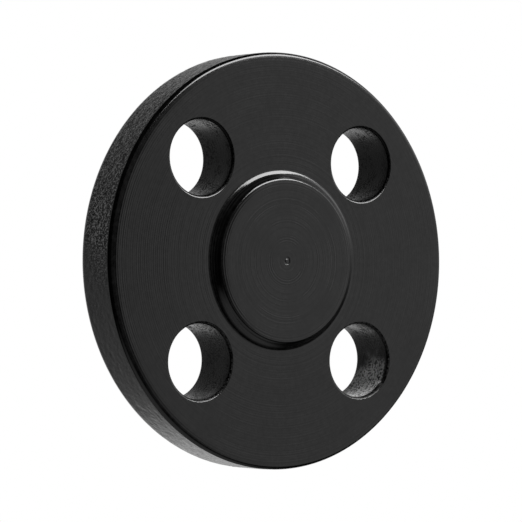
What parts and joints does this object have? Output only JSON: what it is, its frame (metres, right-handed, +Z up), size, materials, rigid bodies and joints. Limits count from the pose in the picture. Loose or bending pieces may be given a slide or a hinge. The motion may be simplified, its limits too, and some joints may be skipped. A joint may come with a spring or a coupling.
{
  "type": "blind flange",
  "caption": "Flat round steel disc with a low central raised sealing face and a ring of through bolt holes; it bolts over an open pipe end to close it.",
  "frame": {"origin": "centre of the raised sealing face", "axes": "The flange axis is Y. The sealing face looks along -Y and the back along +Y. +Z is up, and the bolt holes straddle it."},
  "size_m": [0.0888, 0.0126, 0.0888],
  "materials": {
    "black_steel": "thin satin black coat over turned faces, rougher over the forged rim"
  },
  "bodies": {
    "root": {"flange_disc": "black_steel"}
  },
  "joints": []
}
